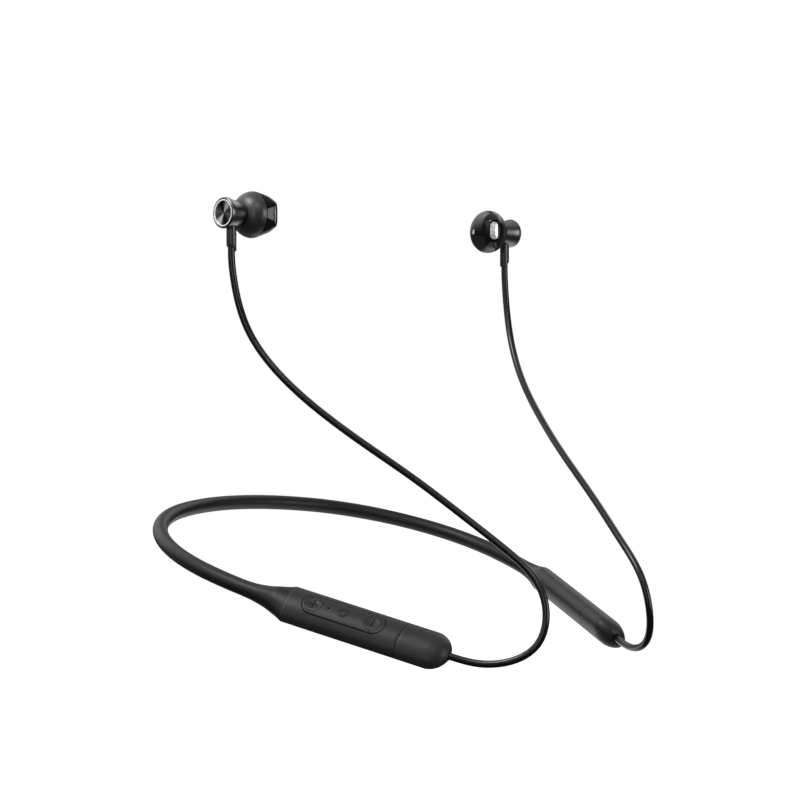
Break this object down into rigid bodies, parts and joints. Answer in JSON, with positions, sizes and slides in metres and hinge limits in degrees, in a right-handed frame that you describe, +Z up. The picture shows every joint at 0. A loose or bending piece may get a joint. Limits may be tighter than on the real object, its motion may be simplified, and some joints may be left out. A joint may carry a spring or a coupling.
{
  "type": "neckband earphones",
  "caption": "Wireless earphones worn round the neck: springy band, control pod with keys, battery pod, and a cabled earbud on each side.",
  "frame": {"origin": "where the inside of the band rests on the nape of the neck", "axes": "+X the wearer's left, -Y forward, +Z up; the band dips 16.2 degrees towards the front, as worn"},
  "size_m": [0.1444, 0.1755, 0.1519],
  "materials": {
    "silicone": "matte silicone",
    "spring_steel": "bright drawn",
    "wire_jacket": "satin",
    "pod_plastic": "fine matte",
    "board": "solder mask",
    "shield": "tinned",
    "mic_can": "gold plated",
    "cable_jacket": "satin TPE",
    "cell_foil": "foil",
    "dark_metal": "anodised, satin",
    "bright_ring": "diamond cut",
    "spun_disc": "black, radially spun",
    "magnet": "nickel plated",
    "satin_shell": "satin",
    "gloss_shell": "gloss",
    "mesh": "woven",
    "driver_frame": "plain",
    "film": "film",
    "stem_rubber": "satin"
  },
  "bodies": {
    "neckband": {"neckband_sleeve": "silicone", "band_end_right": "silicone", "band_end_left": "silicone", "memory_wire": "spring_steel", "neck_loom": "wire_jacket", "housing_right": "pod_plastic", "end_cap_right": "pod_plastic", "keypad_plate": "pod_plastic", "control_board": "board", "switch_volume_up": "shield", "switch_function": "shield", "switch_volume_down": "shield", "radio_module": "shield", "microphone": "mic_can", "usb_c_receptacle": "shield", "strain_relief_right": "cable_jacket", "housing_left": "pod_plastic", "end_cap_left": "pod_plastic", "battery_cell": "cell_foil", "protection_board": "board", "strain_relief_left": "cable_jacket", "cable_right": "cable_jacket", "cable_left": "cable_jacket"},
    "key_volume_up": {"key_volume_up": "pod_plastic"},
    "key_function": {"key_function": "pod_plastic"},
    "key_volume_down": {"key_volume_down": "pod_plastic"},
    "earbud_right": {"bud_barrel_right": "dark_metal", "bud_trim_ring_right": "bright_ring", "bud_back_disc_right": "spun_disc", "bud_clip_magnet_right": "magnet", "bud_rear_shell_right": "satin_shell", "bud_front_shell_right": "gloss_shell", "bud_sound_mesh_right": "mesh", "bud_vent_mesh_right": "mesh", "bud_driver_right": "driver_frame", "bud_driver_magnet_right": "magnet", "bud_diaphragm_right": "film", "bud_stem_right": "stem_rubber"},
    "earbud_left": {"bud_barrel_left": "dark_metal", "bud_trim_ring_left": "bright_ring", "bud_back_disc_left": "spun_disc", "bud_clip_magnet_left": "magnet", "bud_rear_shell_left": "satin_shell", "bud_front_shell_left": "gloss_shell", "bud_sound_mesh_left": "mesh", "bud_vent_mesh_left": "mesh", "bud_driver_left": "driver_frame", "bud_driver_magnet_left": "magnet", "bud_diaphragm_left": "film", "bud_stem_left": "stem_rubber"}
  },
  "joints": [
    {"name": "volume_up_press", "type": "slide", "parent": "neckband", "child": "key_volume_up", "axis": [0.5318, 0.4416, -0.7226], "range_m": [0, 0.00025], "stiffness_N_per_m": 2000},
    {"name": "function_press", "type": "slide", "parent": "neckband", "child": "key_function", "axis": [0.5318, 0.4416, -0.7226], "range_m": [0, 0.00025], "stiffness_N_per_m": 2000},
    {"name": "volume_down_press", "type": "slide", "parent": "neckband", "child": "key_volume_down", "axis": [0.5318, 0.4416, -0.7226], "range_m": [0, 0.00025], "stiffness_N_per_m": 2000},
    {"name": "earbud_right_turn", "type": "hinge", "parent": "neckband", "child": "earbud_right", "pos_m": [-0.0656, -0.069, 0.087], "axis": [0, 0, 1], "range_deg": [-60, 60], "stiffness_Nm_per_rad": 0.0003},
    {"name": "earbud_left_turn", "type": "hinge", "parent": "neckband", "child": "earbud_left", "pos_m": [0.0656, -0.069, 0.087], "axis": [0, 0, 1], "range_deg": [-60, 60], "stiffness_Nm_per_rad": 0.0003}
  ]
}
